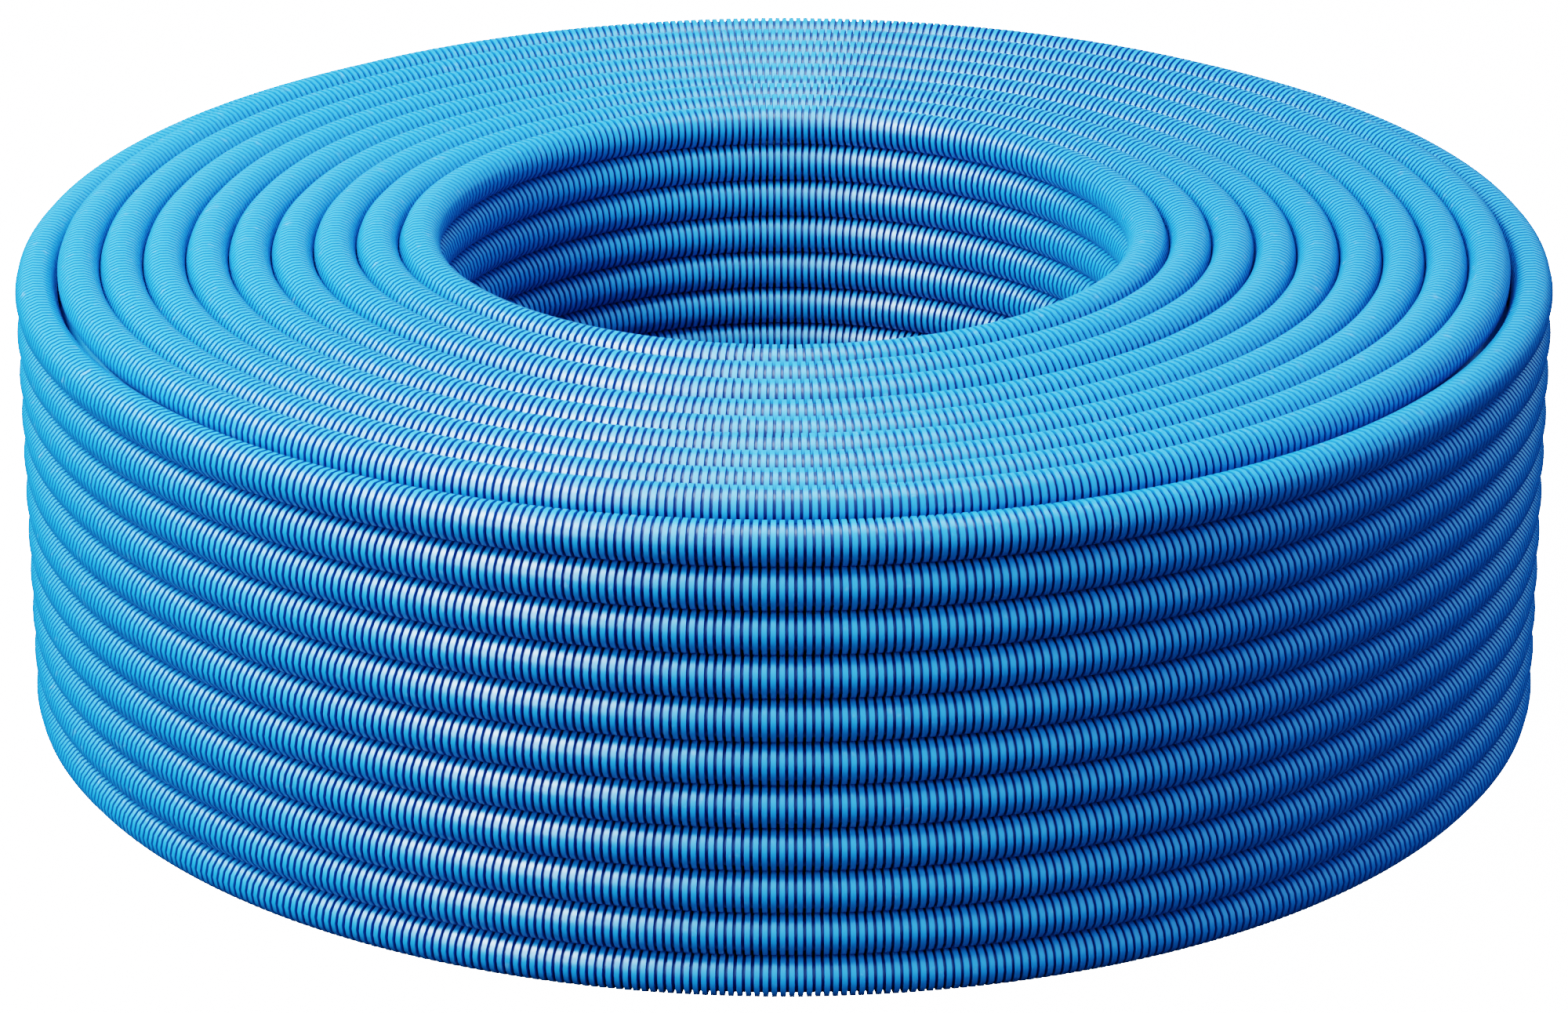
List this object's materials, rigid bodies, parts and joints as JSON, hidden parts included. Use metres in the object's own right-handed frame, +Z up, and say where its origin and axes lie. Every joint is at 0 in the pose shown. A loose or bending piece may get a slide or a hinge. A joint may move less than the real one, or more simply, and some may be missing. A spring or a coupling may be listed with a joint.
{
  "type": "vacuum hose",
  "caption": "Long corrugated pool vacuum hose wound in an upright bulk coil with an open core, a fixed cuff on its inner end and a swivel cuff on its outer end.",
  "frame": {"origin": "on the floor, in the middle of the coil's open core", "axes": "+Z up along the coil's axis, -Y towards the side that faces the viewer, +X to the viewer's right"},
  "size_m": [1.3764, 1.3766, 0.4378],
  "materials": {
    "hose": "glossy extruded polyethylene, ribbed",
    "cuff": "satin moulded soft plastic",
    "seal": "moulded rubber",
    "spring": "stainless spring wire"
  },
  "bodies": {
    "hose": {"coil_layer_01": "hose", "coil_layer_02": "hose", "coil_layer_03": "hose", "coil_layer_04": "hose", "coil_layer_05": "hose", "coil_layer_06": "hose", "coil_layer_07": "hose", "coil_layer_08": "hose", "coil_layer_09": "hose", "coil_layer_10": "hose", "inner_tail": "hose", "outer_tail": "hose", "fixed_cuff": "cuff", "hose_collar": "cuff", "seal_ring": "seal", "retaining_ring": "spring"},
    "swivel": {"swivel_cuff": "cuff"}
  },
  "joints": [
    {"name": "swivel_turn", "type": "hinge", "parent": "hose", "child": "swivel", "pos_m": [0.35741, 0.65259, 0.026], "axis": [-0.7071, 0.7071, 0], "continuous": true}
  ]
}
